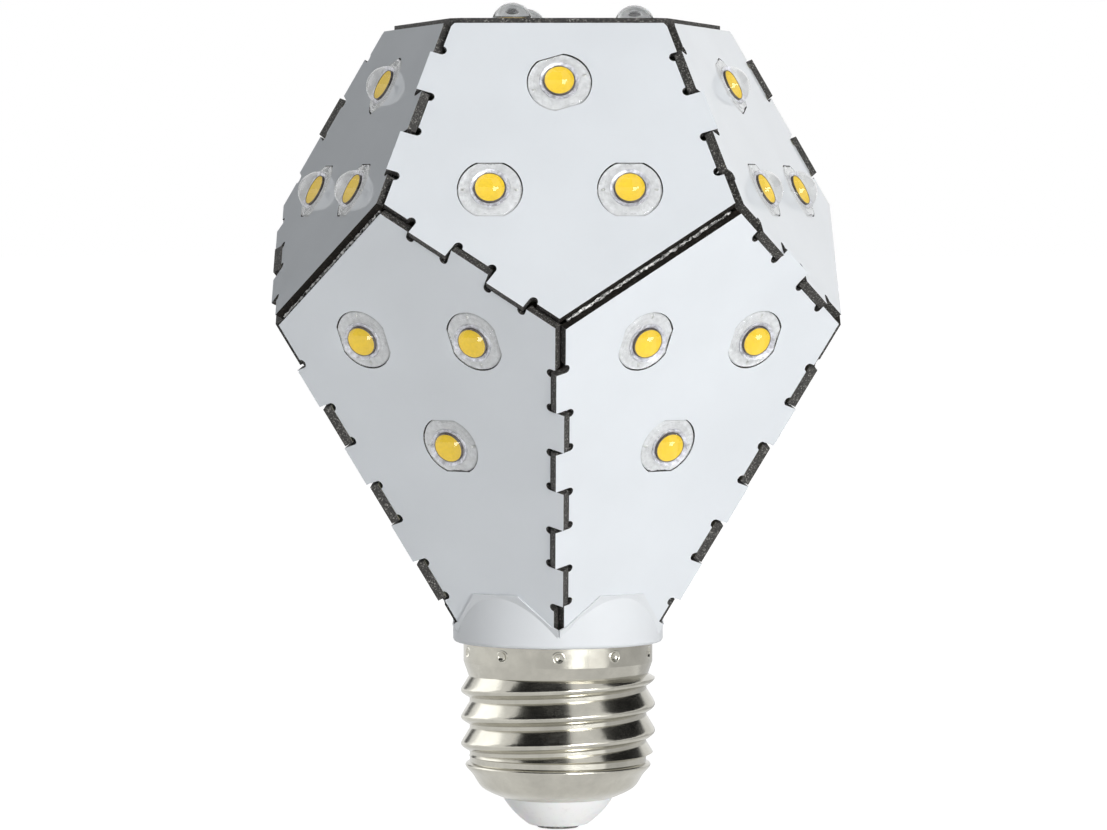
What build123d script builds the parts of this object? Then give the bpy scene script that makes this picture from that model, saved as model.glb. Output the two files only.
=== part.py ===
from build123d import *
from math import atan, ceil, cos, pi, radians, sin, sqrt, tan
import os

# LED lamp made of printed circuit boards folded into a many-sided lantern on a screw cap.
# Millimetres, +Z up. The origin is the middle of the centre contact's lower face,
# the lamp stands on its cap, and one upper board faces -Y.

# Driving dimensions of the lantern of boards
board_edge = 29.0            # edge of the regular five-sided faces, measured on the outer skin
board_thickness = 1.2
joint_gap = 0.1              # play between a finger's inner corner and the notch it lies in
groove_gap = 0.1             # play between two boards along an open corner groove
fold_gap = 0.4               # bare line left between the two boards of a fold
finger_play = 0.18           # each finger is narrower than its pitch by this on each side
finger_pitch = 6.15
finger_count = 3             # finger and notch lengths between the two ends of a face's edge
seam_first_finger = 7.2      # from the lantern's waist down to the first finger of a lower seam
seam_end_margin = 2.0        # least plain length under the last finger of a lower seam
relief_radius = 0.6          # round relief that the cutter leaves in each notch corner
corner_cut_top = 1.55        # trimmed upper corners of the upper boards, along the top edge
corner_cut_side = 2.95       # and along the side edge
top_corner_cut = 1.2         # trimmed corners of the top board

# The light emitters, three on a board
emitter_spacing = 18.0
emitter_hole_radius = 4.25
emitter_hole_flats = 7.7
emitter_clearance = 0.12
emitter_depth = 2.4
emitter_sunk = 0.25          # the case lies this deep in its hole
emitter_tilt = 18.0
lens_flange_margin = 0.15     # the lens stays this far inside the case's outline
lens_flange_height = 0.35
lens_radius = 2.75
lens_height = 2.5            # from the board's face up to the top of the dome
lens_pocket_play = 0.05
phosphor_radius = 1.5
phosphor_height = 0.35
slug_radius = 2.8
slug_height = 0.6
tab_width = 1.3
tab_length = 2.2
tab_thickness = 0.3

# Metal strip that joins the two boards of a fold on the inside
fold_strip_width = 2.2
fold_strip_thickness = 0.15
fold_strip_end_gap = 1.2

# White collar
collar_overhang = 1.4        # the collar stands out this far past the shell's skirt
collar_floor = 1.1
collar_corner_wall = 0.35    # plastic between a corner of the pocket's floor and the outside
collar_edge_round = 0.5
pocket_gap = 0.05
board_foot_gap = 0.05        # from the pocket's floor up to the boards' cut ends
petal_ring_height = 1.7      # from the cut ends up to where the petals meet at the seams
petal_foot_rise = 0.5        # from there up to the foot of a petal's slanted sides
petal_rise = 4.5             # and from that foot up to the petal's top edge
petal_top_width = 7.2
petal_seam_margin = 1.13     # between the foot of a petal's side and the seam beside it
petal_lip = 0.2
spigot_wall = 2.4
spigot_gap = 0.05
spigot_lead = 0.4

# Edison screw shell, the common 27 mm size with 7 turns to the inch
thread_pitch = 25.4 / 7
thread_crest_radius = 13.15
thread_depth = 1.2
thread_upper_flank = 1.05    # from a crest up to the next valley
thread_valley = 0.13         # plain length in the bottom of each valley
thread_crest_rise = 2.7      # from the shoulder up to the lowest full crest at -X
thread_length = 13.9         # between the two heights where the thread has run out
thread_start_drop = 0.2      # the lower one of them lies this far under the shoulder
thread_fade_length = 2.6
ridge_root = 0.15            # the ridge starts this far inside the root cylinder
shell_thickness = 0.3
shell_seat_gap = 0.1
skirt_inset = 0.35           # the skirt's radius is less than the thread's by this
skirt_length = 2.6
neck_step = 0.05
neck_drop = 2.0              # the neck ends this far under the upper one of them
neck_flare = 2.3
shoulder_inset = 0.6
shoulder_rise = 0.4
lip_height = 4.15            # from the centre contact's face up to the shell's mouth
lip_flare_width = 1.65       # widths and heights of the cup's sides, from its mouth upwards
lip_flare_height = 0.7
cup_floor_width = 1.25
cup_floor_height = 0.8
cup_side_width = 1.25
cup_side_height = 1.85
cup_brow_width = 0.8
cup_brow_height = 1.1
mouth_cut = 1.2
dimple_count = 10
dimple_rise = 1.4            # from the skirt's foot up to the middle of the dimples
dimple_radius = 0.65
dimple_depth = 0.3
dimple_play = 0.1

# Points of the thread's round flanks, as shares of its depth and of the flank's length
lower_flank_foot = (0.3, 0.68)
lower_flank_head = (0.74, 0.32)
upper_flank_middle = (0.55, 0.55)

# White insulator and the centre contact
insulator_gap = 0.1
insulator_seat_gap = 0.05
insulator_foot_radius = 4.0
insulator_bulge = 0.2
insulator_flange_width = 1.1
insulator_flange_height = 2.0
contact_radius = 2.9
contact_height = 0.45
contact_pin_radius = 1.1
contact_pin_play = 0.05
contact_edge_round = 0.15

# Driver board, held upright in two slots of the collar
driver_thickness = 1.0
driver_side_gap = 0.8        # between its lower part and the spigot's bore
driver_shoulder = 0.55       # its upper part stands on the collar's floor by this on each side
driver_bottom = 9.5
driver_head = 13.6           # from the collar's floor up to its top edge
slot_play = 0.1
slot_depth = 0.55            # the slots run this far out from the round bore
capacitor_radius = 4.0
capacitor_length = 12.0
capacitor_rise = 1.5         # from the driver's lower edge, as the next rises
capacitor_edge_round = 0.6
chip_size = (5.0, 4.0, 1.5)
chip_rise = 7.5
fuse_radius = 1.6
fuse_length = 8.0
fuse_rise = 13.0
fuse_end_round = 0.5
inductor_radius = 3.6
inductor_core_radius = 2.9
inductor_flange = 1.0
inductor_length = 7.0
inductor_rise = 5.6          # from the collar's floor, as the rectifier's
rectifier_size = (6.4, 4.8, 2.4)
rectifier_rise = 4.6
block_chamfer = 0.3

# Leads
wire_radius = 0.5
live_joint_length = 3.0
neutral_offset = 7.2
neutral_joint_rise = 2.5     # from the driver's lower edge up to the neutral wire's joint
neutral_joint_length = 4.0
neutral_end_rise = 0.6       # from the neck up to the wire's end, which lies in the flare
neutral_end_seat = 0.05
output_offset = 6.5
output_joint_length = 3.5
output_landing_rise = 13.6   # from the boards' cut ends up to where the leads are soldered

# Shapes that follow from the edge of the faces
dihedral = pi - atan(2)                                  # angle between two neighbouring faces
face_tilt = atan(1 / 2)                                  # lean of a side face from upright
face_corner_radius = board_edge / (2 * sin(radians(36)))
face_apothem = board_edge / (2 * tan(radians(36)))
face_distance = face_apothem * tan(dihedral / 2)         # from the lantern's middle to a face
side_corner = (face_corner_radius * cos(radians(18)), face_corner_radius * sin(radians(18)))
base_corner = (board_edge / 2, -face_apothem)
finger_overrun = -board_thickness / tan(dihedral)        # a finger goes this far past the edge
notch_setback = board_thickness / sin(dihedral) + joint_gap
groove_setback = board_thickness / tan(dihedral / 2) + groove_gap / 2
fold_setback = board_thickness / tan(dihedral / 2) + fold_gap / 2

# Sizes that follow for the screw shell, inwards from the thread and upwards from the mouth
thread_root_radius = thread_crest_radius - thread_depth
thread_lower_flank = thread_pitch - thread_upper_flank - thread_valley
shoulder_radius = thread_crest_radius - shoulder_inset
cup_high_radius = shoulder_radius - cup_brow_width
cup_mid_radius = cup_high_radius - cup_side_width
cup_low_radius = cup_mid_radius - cup_floor_width
lip_radius = cup_low_radius - lip_flare_width
cup_low_height = lip_height + lip_flare_height
cup_mid_height = cup_low_height + cup_floor_height
cup_high_height = cup_mid_height + cup_side_height
shoulder_height = cup_high_height + cup_brow_height
thread_fade_bottom = shoulder_height - thread_start_drop
thread_fade_top = thread_fade_bottom + thread_length
neck_radius = thread_root_radius + neck_step
neck_height = thread_fade_top - neck_drop
skirt_radius = thread_crest_radius - skirt_inset
skirt_foot = neck_height + neck_flare
shell_top = skirt_foot + skirt_length

# Sizes that follow for the collar, whose pocket sets how far down the cone of boards reaches
collar_bottom = shell_top + shell_seat_gap
floor_top = collar_bottom + collar_floor
collar_radius = skirt_radius + collar_overhang
pocket_floor_apothem = (collar_radius - collar_corner_wall) * cos(radians(36))
floor_reach = (
    face_distance * cos(face_tilt) + pocket_gap / cos(face_tilt) - pocket_floor_apothem
) / sin(face_tilt)
lower_board_reach = floor_reach - board_foot_gap / cos(face_tilt)
petal_ring_reach = lower_board_reach - petal_ring_height
petal_foot_reach = petal_ring_reach - petal_foot_rise
petal_top_reach = petal_foot_reach - petal_rise
lantern_centre_height = (
    floor_top + floor_reach * cos(face_tilt) + face_distance * sin(face_tilt)
)
lantern_centre = Vector(0, 0, lantern_centre_height)


# Planes of the faces, each with its origin in the face's middle and its y up the face

def side_face(azimuth, rises):
    """Plane on the outer skin of a side face; rises is 1 for an upper face, -1 for a lower one."""
    turn = radians(azimuth)
    outward = Vector(
        sin(turn) * cos(face_tilt),
        -cos(turn) * cos(face_tilt),
        rises * sin(face_tilt),
    )
    return Plane(
        origin=lantern_centre + outward * face_distance,
        x_dir=Vector(cos(turn), sin(turn), 0),
        z_dir=outward,
    )


top_face = Plane(
    origin=lantern_centre + Vector(0, 0, face_distance),
    x_dir=(1, 0, 0),
    z_dir=(0, 0, 1),
)
upper_faces = [side_face(72 * number, 1) for number in range(5)]
lower_faces = [side_face(72 * number + 36, -1) for number in range(5)]


# Outline of a board: straight edges, fingers, notches and their round reliefs

def finger_steps(first, pitch, count, starts_with_finger, end_setback):
    """Steps along one edge as (distance, set-back before it, set-back after it)."""
    setbacks = [end_setback]
    for number in range(count):
        is_finger = (number % 2 == 0) == starts_with_finger
        setbacks.append(-finger_overrun if is_finger else notch_setback)
    setbacks.append(end_setback)
    steps = []
    for number in range(count + 1):
        before = setbacks[number]
        after = setbacks[number + 1]
        shift = finger_play if after < before else -finger_play
        if before == after:
            shift = 0
        steps.append((first + number * pitch + shift, before, after))
    return steps


def face_edge_steps(starts_with_finger):
    """Fingers on a full edge of a five-sided face, the same from either end."""
    first = (board_edge - finger_count * finger_pitch) / 2
    return finger_steps(first, finger_pitch, finger_count, starts_with_finger, groove_setback)


def seam_steps(starts_with_finger):
    """Fingers on the long seam between two lower boards, from the waist down."""
    room = seam_length - seam_first_finger - seam_end_margin
    count = int(room / finger_pitch)
    return finger_steps(
        seam_first_finger, finger_pitch, count, starts_with_finger, groove_setback
    )


def reverse_steps(steps, length):
    """The same steps, walked from the other end of an edge."""
    return [(length - distance, after, before) for distance, before, after in reversed(steps)]


def point_on(start, end, distance, setback):
    """Point at a distance along an edge and set back into the board, which lies on its left."""
    along = (end - start).normalized()
    inward = Vector(-along.Y, along.X)
    return start + along * distance + inward * setback


def meet(corner, before, after, setback_before, setback_after):
    """Corner of the two set-back edges that meet at an ideal corner."""
    along_before = (corner - before).normalized()
    along_after = (after - corner).normalized()
    turn = along_before.X * along_after.Y - along_before.Y * along_after.X
    shift = (setback_before - setback_after * along_before.dot(along_after)) / turn
    return corner + along_after * shift + Vector(-along_after.Y, along_after.X) * setback_after


def board_outline(corners, edges):
    """Outline points of a board; edges hold (steps, first set-back, last set-back)."""
    points = []
    count = len(corners)
    for number in range(count):
        start = corners[number]
        end = corners[(number + 1) % count]
        before = corners[number - 1]
        steps, first_setback, last_setback = edges[number]
        setback_before = edges[number - 1][2]
        points.append(meet(start, before, end, setback_before, first_setback))
        for distance, setback_in, setback_out in steps:
            points.append(point_on(start, end, distance, setback_in))
            points.append(point_on(start, end, distance, setback_out))
    return points


def relief_centres(corners, edges):
    """Centres of the round reliefs, one beside each finger on the line behind it."""
    centres = []
    count = len(corners)
    for number in range(count):
        start = corners[number]
        end = corners[(number + 1) % count]
        for distance, setback_in, setback_out in edges[number][0]:
            deeper = max(setback_in, setback_out)
            side = -relief_radius if setback_in > setback_out else relief_radius
            centres.append(point_on(start, end, distance + side, deeper))
    return centres


straight_groove = ([], groove_setback, groove_setback)
straight_fold = ([], fold_setback, fold_setback)

# Upper board, anticlockwise from its top left corner
upper_corners = [
    Vector(-base_corner[0], -base_corner[1]),
    Vector(-side_corner[0], -side_corner[1]),
    Vector(0, -face_corner_radius),
    Vector(side_corner[0], -side_corner[1]),
    Vector(base_corner[0], -base_corner[1]),
]
upper_edges = [
    (face_edge_steps(True), groove_setback, groove_setback),
    (face_edge_steps(True), groove_setback, groove_setback),
    straight_fold,
    (face_edge_steps(False), groove_setback, groove_setback),
    straight_groove,
]

# Lower board, anticlockwise from its top corner; its sides run on down into the collar
seam_lean = (side_corner[0] - base_corner[0]) / (side_corner[1] - base_corner[1])


def seam_offset(reach):
    """Distance of a lower seam from its face's middle line, so far below the face's middle."""
    return side_corner[0] - seam_lean * (side_corner[1] + reach)


foot_half_width = seam_offset(lower_board_reach)
seam_length = (side_corner[1] + lower_board_reach) * sqrt(1 + seam_lean**2)
lower_corners = [
    Vector(0, face_corner_radius),
    Vector(-side_corner[0], side_corner[1]),
    Vector(-foot_half_width, -lower_board_reach),
    Vector(foot_half_width, -lower_board_reach),
    Vector(side_corner[0], side_corner[1]),
]
lower_edges = [
    straight_fold,
    (seam_steps(True), groove_setback, groove_setback),
    ([], 0, 0),
    (reverse_steps(seam_steps(False), seam_length), groove_setback, groove_setback),
    (face_edge_steps(False), groove_setback, groove_setback),
]

# Top board
top_corners = [
    Vector(face_corner_radius * cos(turn), face_corner_radius * sin(turn))
    for turn in [radians(72 * number - 54) for number in range(5)]
]
top_edges = [straight_groove] * 5


# Where the emitters stand on each kind of board: x, y and the turn of their flats

emitter_ring = emitter_spacing / sqrt(3)


def emitter_sites(first_angle, turns):
    """Three places on a ring, the first at an angle from the board's x axis."""
    places = []
    for number, turn in enumerate(turns):
        angle = radians(first_angle + 120 * number)
        place = (emitter_ring * cos(angle), emitter_ring * sin(angle))
        places.append(Location((*place, 0), (0, 0, turn)))
    return places


upper_sites = emitter_sites(90, (emitter_tilt, 0, 0))
lower_sites = emitter_sites(30, (90, 90, 0))
top_sites = emitter_sites(-126, (0, 0, 0))


# Boards

def make_board(face, corners, edges, sites, corner_cut=0):
    """One circuit board: its jointed outline, the emitters' holes and its thickness inwards."""
    with BuildPart() as board:
        with BuildSketch(face) as outline:
            with BuildLine():
                Polyline(*board_outline(corners, edges), close=True)
            make_face()
            if corner_cut:
                chamfer(outline.vertices(), corner_cut)
            centres = relief_centres(corners, edges)
            if centres:
                with Locations(*centres):
                    Circle(relief_radius, mode=Mode.SUBTRACT)
            with Locations(*sites):
                add(emitter_hole.sketch, mode=Mode.SUBTRACT)
        extrude(amount=-board_thickness)
    return board.part


with BuildSketch() as emitter_hole:
    Circle(emitter_hole_radius)
    Rectangle(2 * emitter_hole_radius, emitter_hole_flats, mode=Mode.INTERSECT)

trimmed_corner = [
    Vector(corner_cut_top - board_edge / 2, face_apothem),
    Vector(-board_edge / 2, face_apothem),
    point_on(upper_corners[0], upper_corners[1], corner_cut_side, 0),
]


def make_upper_board(face):
    """An upper board also has its two top corners trimmed."""
    whole = make_board(face, upper_corners, upper_edges, upper_sites)
    with BuildPart() as board:
        add(whole)
        with BuildSketch(face):
            for side in (1, -1):
                corner = [Vector(point.X * side, point.Y) for point in trimmed_corner]
                with BuildLine():
                    Polyline(*corner, close=True)
                make_face()
        extrude(amount=-board_thickness, mode=Mode.SUBTRACT)
    return board.part


# Light emitters: body, copper slug with two soldered tabs, phosphor and clear lens

body_radius = emitter_hole_radius - emitter_clearance
body_flats = emitter_hole_flats - 2 * emitter_clearance
body_top = -emitter_sunk
body_bottom = body_top - emitter_depth

with BuildPart() as emitter_body:
    with BuildSketch(Plane.XY.offset(body_top)):
        Circle(body_radius)
        Rectangle(2 * body_radius, body_flats, mode=Mode.INTERSECT)
    extrude(amount=-emitter_depth)

with BuildPart() as emitter_metal:
    with BuildSketch(Plane.XY.offset(body_bottom)):
        Circle(slug_radius)
    extrude(amount=-slug_height)
    with BuildSketch(Plane.XY.offset(-board_thickness)):
        with Locations((body_radius + tab_length / 2, 0), (-body_radius - tab_length / 2, 0)):
            Rectangle(tab_length, tab_width)
    extrude(amount=-tab_thickness)

with BuildPart() as phosphor:
    with BuildSketch(Plane.XY.offset(body_top)):
        Circle(phosphor_radius)
    extrude(amount=phosphor_height)

dome_foot = body_top + lens_flange_height
pocket_radius = phosphor_radius + lens_pocket_play
pocket_height = phosphor_height + lens_pocket_play

with BuildPart() as lens:
    with BuildSketch(Plane.XY.offset(body_top)):
        Circle(body_radius - lens_flange_margin)
        Rectangle(2 * body_radius, body_flats - 2 * lens_flange_margin, mode=Mode.INTERSECT)
    extrude(amount=lens_flange_height)
    with BuildSketch(Plane.XZ):
        with BuildLine():
            TangentArc((0, lens_height), (lens_radius, dome_foot), tangent=(1, 0))
            Polyline((lens_radius, dome_foot), (0, dome_foot), (0, lens_height))
        make_face()
    revolve(axis=Axis.Z)
    with BuildSketch(Plane.XY.offset(body_top)):
        Circle(pocket_radius)
    extrude(amount=pocket_height, mode=Mode.SUBTRACT)


def make_emitter_set(template, faces, sites):
    """Copies of one emitter piece on the sites of one or more boards."""
    with BuildPart() as copies:
        with Locations(*[face.location * site for face in faces for site in sites]):
            add(template.part)
    return copies.part


# Fold strips: thin metal bent over the inner corner of each fold

inner_edge_length = board_edge * (1 - board_thickness / face_distance)


def make_fold_strip(number):
    """Strip under the fold between one upper board and the lower board on its right."""
    upper = upper_faces[number]
    lower = lower_faces[number]
    edge_angle = radians(-54)
    edge_middle = upper.from_local_coords(
        Vector(face_apothem * cos(edge_angle), face_apothem * sin(edge_angle))
    )
    outward = (edge_middle - lantern_centre).normalized()
    along = upper.z_dir.cross(lower.z_dir).normalized()
    section = Plane(origin=edge_middle, x_dir=outward.cross(along), z_dir=along)
    lean = dihedral / 2
    leg = Vector(sin(lean), -cos(lean))
    inward = Vector(-cos(lean), -sin(lean))
    corner_out = Vector(0, -board_thickness / sin(lean))
    corner_in = Vector(0, -(board_thickness + fold_strip_thickness) / sin(lean))
    tip_out = corner_out + leg * fold_strip_width
    tip_in = tip_out + inward * fold_strip_thickness
    half_length = inner_edge_length / 2 - fold_strip_end_gap
    with BuildPart() as strip:
        with BuildSketch(section):
            with BuildLine():
                Polyline(
                    corner_out,
                    tip_out,
                    tip_in,
                    corner_in,
                    Vector(-tip_in.X, tip_in.Y),
                    Vector(-tip_out.X, tip_out.Y),
                    close=True,
                )
            make_face()
        extrude(amount=half_length, both=True)
    return strip.part


# Write the lantern

os.makedirs("parts", exist_ok=True)


def write(part, name):
    """Give a finished piece its name and write it."""
    part.label = name
    export_step(part, f"parts/{name}.step")


write(make_board(top_face, top_corners, top_edges, top_sites, top_corner_cut), "top_board")
write(make_emitter_set(emitter_body, [top_face], top_sites), "emitter_bodies_top")
write(make_emitter_set(lens, [top_face], top_sites), "lenses_top")
write(make_emitter_set(phosphor, [top_face], top_sites), "phosphors_top")
write(make_emitter_set(emitter_metal, [top_face], top_sites), "emitter_contacts_top")

for number in range(5):
    upper = upper_faces[number]
    lower = lower_faces[number]
    write(make_upper_board(upper), f"upper_board_{number + 1}")
    write(make_board(lower, lower_corners, lower_edges, lower_sites), f"lower_board_{number + 1}")
    write(make_emitter_set(emitter_body, [upper], upper_sites), f"emitter_bodies_upper_{number + 1}")
    write(make_emitter_set(emitter_body, [lower], lower_sites), f"emitter_bodies_lower_{number + 1}")
    write(make_emitter_set(lens, [upper], upper_sites), f"lenses_upper_{number + 1}")
    write(make_emitter_set(lens, [lower], lower_sites), f"lenses_lower_{number + 1}")
    write(make_fold_strip(number), f"fold_strip_{number + 1}")

write(make_emitter_set(phosphor, upper_faces, upper_sites), "phosphors_upper")
write(make_emitter_set(phosphor, lower_faces, lower_sites), "phosphors_lower")
write(make_emitter_set(emitter_metal, upper_faces, upper_sites), "emitter_contacts_upper")
write(make_emitter_set(emitter_metal, lower_faces, lower_sites), "emitter_contacts_lower")


# White collar: a ring with a five-sided pocket for the boards and a spigot for the shell

def lower_face_reach(height, gap):
    """Distance of the lower faces from the axis at a height, plus a gap square to the face."""
    drop = (height - lantern_centre_height) * sin(face_tilt)
    return (face_distance + gap + drop) / cos(face_tilt)


petal_top_height = (
    lantern_centre_height - face_distance * sin(face_tilt) - petal_top_reach * cos(face_tilt)
)
petal_foot_half_width = seam_offset(petal_foot_reach) - petal_seam_margin
# The round body ends where it is only as thick over the faces as a petal's lip
round_top = floor_top + (collar_radius - petal_lip - pocket_floor_apothem) / tan(face_tilt)
spigot_radius = skirt_radius - shell_thickness - spigot_gap
spigot_length = collar_bottom - skirt_foot + spigot_lead
spigot_bottom = collar_bottom - spigot_length
spigot_bore_radius = spigot_radius - spigot_wall
driver_lower_width = 2 * (spigot_bore_radius - driver_side_gap)
driver_upper_width = driver_lower_width + 2 * driver_shoulder
collar_bore_radius = driver_lower_width / 2 - slot_depth
seam_angle = -18

dimple_sphere = (dimple_radius**2 + dimple_depth**2) / (2 * dimple_depth)
dimple_ring = skirt_radius - dimple_depth + dimple_sphere
dimple_height = skirt_foot + dimple_rise
dimple_places = [
    (dimple_ring * sin(turn), -dimple_ring * cos(turn), dimple_height)
    for turn in [2 * pi * number / dimple_count for number in range(dimple_count)]
]

with BuildPart() as collar:
    with BuildSketch(Plane.XY.offset(collar_bottom)):
        Circle(collar_radius)
    extrude(amount=round_top - collar_bottom)
    fillet(collar.edges().group_by(Axis.Z)[0], collar_edge_round)
    for height in (floor_top, petal_top_height + petal_lip):
        with BuildSketch(Plane.XY.offset(height)):
            RegularPolygon(
                lower_face_reach(height, pocket_gap), 5, major_radius=False, rotation=seam_angle
            )
    loft(ruled=True, mode=Mode.SUBTRACT)
    for face in lower_faces:
        with BuildSketch(face.offset(pocket_gap)):
            with BuildLine():
                Polyline(
                    (-petal_top_width / 2, -petal_top_reach),
                    (-petal_foot_half_width, -petal_foot_reach),
                    (-seam_offset(petal_ring_reach), -petal_ring_reach),
                    (-seam_offset(lower_board_reach), -lower_board_reach),
                    (seam_offset(lower_board_reach), -lower_board_reach),
                    (seam_offset(petal_ring_reach), -petal_ring_reach),
                    (petal_foot_half_width, -petal_foot_reach),
                    (petal_top_width / 2, -petal_top_reach),
                    close=True,
                )
            make_face()
        extrude(amount=petal_lip)
    with BuildSketch(Plane.XY.offset(collar_bottom)):
        Circle(spigot_radius)
    extrude(amount=-spigot_length)
    chamfer(collar.edges().group_by(Axis.Z)[0], spigot_lead)
    with BuildSketch(Plane.XY.offset(spigot_bottom)):
        Circle(spigot_bore_radius)
    extrude(amount=spigot_length, mode=Mode.SUBTRACT)
    with BuildSketch(Plane.XY.offset(floor_top)):
        Circle(collar_bore_radius)
        Rectangle(driver_lower_width + 2 * slot_play, driver_thickness + 2 * slot_play)
    extrude(amount=-collar_floor, mode=Mode.SUBTRACT)
    with Locations(*dimple_places):
        Sphere(dimple_sphere + shell_thickness + dimple_play, mode=Mode.SUBTRACT)
write(collar.part, "collar")


# Screw shell: one thin sheet, turned, rolled to a thread and pressed into the spigot's pits

cup_outline = [
    Vector(lip_radius, lip_height),
    Vector(cup_low_radius, cup_low_height),
    Vector(cup_mid_radius, cup_mid_height),
    Vector(cup_high_radius, cup_high_height),
    Vector(shoulder_radius, shoulder_height),
    Vector(thread_root_radius, shoulder_height + shoulder_rise),
]
neck_outline = [
    cup_outline[-1],
    Vector(neck_radius, neck_height),
    Vector(skirt_radius, skirt_foot),
    Vector(skirt_radius, shell_top),
]


def inset_outline(points, inset):
    """An open outline moved to its left by an inset."""
    moved = [point_on(points[0], points[1], 0, inset)]
    for number in range(1, len(points) - 1):
        moved.append(meet(points[number], points[number - 1], points[number + 1], inset, inset))
    length = (points[-1] - points[-2]).length
    moved.append(point_on(points[-2], points[-1], length, inset))
    return moved


def turned_cap(inset):
    """Filled body inside the shell's outer side, or inside a skin an inset further in."""
    whole = inset_outline(cup_outline + neck_outline[1:], inset)
    with BuildPart() as body:
        with BuildSketch(Plane.XZ):
            with BuildLine():
                cup = Spline(*whole[: len(cup_outline)])
                Polyline(
                    cup @ 1, *whole[len(cup_outline) :], (0, shell_top), (0, (cup @ 0).Y), cup @ 0
                )
            make_face()
        revolve(axis=Axis.Z)
    return body.part


def flank_point(shares, flank):
    """Point of the thread's section at shares of its depth and of a flank's length."""
    return (thread_depth * shares[0], flank * shares[1])


def thread_ridge(inset):
    """The rolled thread as a helical ridge that runs out into the wall at both ends."""
    root = thread_root_radius - inset
    # The helix starts at +X, half a turn and a run-out turn under the lowest full crest
    start_height = shoulder_height + thread_crest_rise - (0.5 + 1) * thread_pitch
    turns = ceil((thread_fade_top + thread_lower_flank - start_height) / thread_pitch)
    with BuildPart() as ridge:
        with BuildLine():
            path = Helix(thread_pitch, thread_pitch * turns, root, center=(0, 0, start_height))
        with BuildSketch(Plane(origin=path @ 0, x_dir=(1, 0, 0), z_dir=path % 0)):
            with BuildLine():
                flank = Spline(
                    (-ridge_root, -thread_lower_flank),
                    flank_point(lower_flank_foot, -thread_lower_flank),
                    flank_point(lower_flank_head, -thread_lower_flank),
                    (thread_depth, 0),
                    flank_point(upper_flank_middle, thread_upper_flank),
                    (-ridge_root, thread_upper_flank),
                )
                Line(flank @ 1, flank @ 0)
            make_face()
        sweep(is_frenet=True)
        inner = root - 2 * thread_depth
        outer = thread_crest_radius + thread_depth
        for level, slope, beyond in (
            (thread_fade_bottom, thread_fade_length, start_height - thread_pitch),
            (thread_fade_top, -thread_fade_length, start_height + (turns + 1) * thread_pitch),
        ):
            with BuildSketch(Plane.XZ):
                with BuildLine():
                    Polyline(
                        (inner, level),
                        (outer, level + slope),
                        (outer, beyond),
                        (inner, beyond),
                        close=True,
                    )
                make_face()
            revolve(axis=Axis.Z, mode=Mode.SUBTRACT)
    return ridge.part


def rolled_cap(inset):
    """The turned body with its thread and its crimped dimples."""
    with BuildPart() as body:
        add(turned_cap(inset))
        add(thread_ridge(inset))
        with Locations(*dimple_places):
            Sphere(dimple_sphere + inset, mode=Mode.SUBTRACT)
    return body.part


with BuildPart() as screw_shell:
    add(rolled_cap(0))
    add(rolled_cap(shell_thickness), mode=Mode.SUBTRACT)
    with BuildSketch(Plane.XY.offset(lip_height - shell_thickness)):
        Circle(lip_radius)
    extrude(amount=mouth_cut, mode=Mode.SUBTRACT)
write(screw_shell.part, "screw_shell")


# Insulator in the mouth of the shell, and the centre contact riveted through it

insulator_radius = lip_radius - insulator_gap
insulator_flange_radius = lip_radius + insulator_flange_width
insulator_top = lip_height + insulator_flange_height

with BuildPart() as insulator_flange:
    with BuildSketch(Plane.XY.offset(lip_height - shell_thickness)):
        Circle(insulator_flange_radius)
    extrude(amount=insulator_flange_height + shell_thickness)
    add(turned_cap(shell_thickness + insulator_seat_gap), mode=Mode.INTERSECT)

with BuildPart() as insulator:
    with BuildSketch(Plane.XZ):
        with BuildLine():
            Line((0, contact_height), (insulator_foot_radius, contact_height))
            ThreePointArc(
                (insulator_foot_radius, contact_height),
                (
                    (insulator_foot_radius + insulator_radius) / 2 + insulator_bulge,
                    (contact_height + lip_height) / 2 - insulator_bulge,
                ),
                (insulator_radius, lip_height),
            )
            Polyline(
                (insulator_radius, lip_height),
                (insulator_radius, insulator_top),
                (0, insulator_top),
                (0, contact_height),
            )
        make_face()
    revolve(axis=Axis.Z)
    add(insulator_flange.part)
    with BuildSketch(Plane.XY.offset(contact_height)):
        Circle(contact_pin_radius + contact_pin_play)
    extrude(amount=insulator_top, mode=Mode.SUBTRACT)
write(insulator.part, "insulator")

with BuildPart() as centre_contact:
    with BuildSketch():
        Circle(contact_radius)
    extrude(amount=contact_height)
    chamfer(centre_contact.edges().group_by(Axis.Z)[0], contact_edge_round)
    with BuildSketch(Plane.XY.offset(contact_height)):
        Circle(contact_pin_radius)
    extrude(amount=insulator_top - contact_height)
write(centre_contact.part, "centre_contact")


# Driver board and the pieces soldered to it

driver_front = Plane(origin=(0, -driver_thickness / 2, 0), x_dir=(1, 0, 0), z_dir=(0, -1, 0))
driver_back = Plane(origin=(0, driver_thickness / 2, 0), x_dir=(-1, 0, 0), z_dir=(0, 1, 0))
driver_top = floor_top + driver_head

with BuildPart() as driver_board:
    with BuildSketch(driver_front):
        with Locations((0, driver_bottom)):
            Rectangle(driver_lower_width, driver_top - driver_bottom, align=(Align.CENTER, Align.MIN))
        with Locations((0, floor_top)):
            Rectangle(driver_upper_width, driver_top - floor_top, align=(Align.CENTER, Align.MIN))
    extrude(amount=-driver_thickness)
write(driver_board.part, "driver_board")

with BuildPart() as filter_capacitor:
    with BuildSketch(Plane.XY.offset(driver_bottom + capacitor_rise)):
        with Locations((0, -driver_thickness / 2 - capacitor_radius)):
            Circle(capacitor_radius)
    extrude(amount=capacitor_length)
    fillet(filter_capacitor.edges().filter_by(GeomType.CIRCLE), capacitor_edge_round)
write(filter_capacitor.part, "filter_capacitor")

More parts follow.
